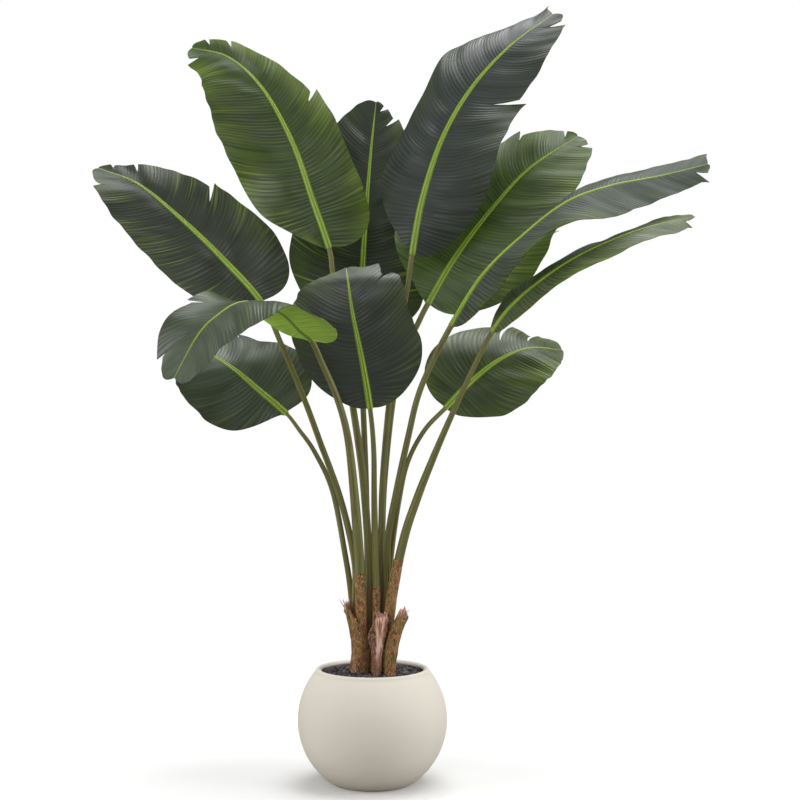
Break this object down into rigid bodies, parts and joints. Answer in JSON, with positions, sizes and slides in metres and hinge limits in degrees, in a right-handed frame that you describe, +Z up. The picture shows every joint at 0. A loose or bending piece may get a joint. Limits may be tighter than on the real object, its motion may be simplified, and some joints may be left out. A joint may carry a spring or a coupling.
{
  "type": "potted travelers palm",
  "caption": "Artificial travelers palm with paddle-shaped leaves on long stalks, standing in gravel in a round pot.",
  "frame": {"origin": "centre of the pot's underside", "axes": "+Z up through the pot, and the plant is seen from the front by looking along +Y"},
  "size_m": [1.2138, 0.5725, 1.5357],
  "materials": {
    "leaf_dark": "satin",
    "leaf_green": "satin",
    "rib": "satin",
    "stalk": "satin",
    "leaf_base": "matte",
    "frayed_stump": "matte",
    "pot": "matte",
    "gravel": "matte"
  },
  "bodies": {
    "root": {"blade_left": "leaf_dark", "rib_left": "rib", "stalk_left": "stalk", "blade_upper_left": "leaf_green", "rib_upper_left": "rib", "stalk_upper_left": "stalk", "blade_back": "leaf_dark", "rib_back": "rib", "stalk_back": "stalk", "blade_tall": "leaf_dark", "rib_tall": "rib", "stalk_tall": "stalk", "blade_back_right": "leaf_green", "rib_back_right": "rib", "stalk_back_right": "stalk", "blade_right_upper": "leaf_dark", "rib_right_upper": "rib", "stalk_right_upper": "stalk", "blade_right_lower": "leaf_dark", "rib_right_lower": "rib", "stalk_right_lower": "stalk", "blade_front": "leaf_dark", "rib_front": "rib", "stalk_front": "stalk", "blade_drooping": "leaf_dark", "rib_drooping": "rib", "stalk_drooping": "stalk", "blade_low_left": "leaf_dark", "rib_low_left": "rib", "stalk_low_left": "stalk", "blade_low_right": "leaf_dark", "rib_low_right": "rib", "stalk_low_right": "stalk", "sheath_right_lower": "leaf_base", "sheath_front": "leaf_base", "sheath_drooping": "leaf_base", "stump_left": "leaf_base", "stump_right": "leaf_base", "stump_middle": "frayed_stump", "pot": "pot", "soil": "gravel"}
  },
  "joints": []
}
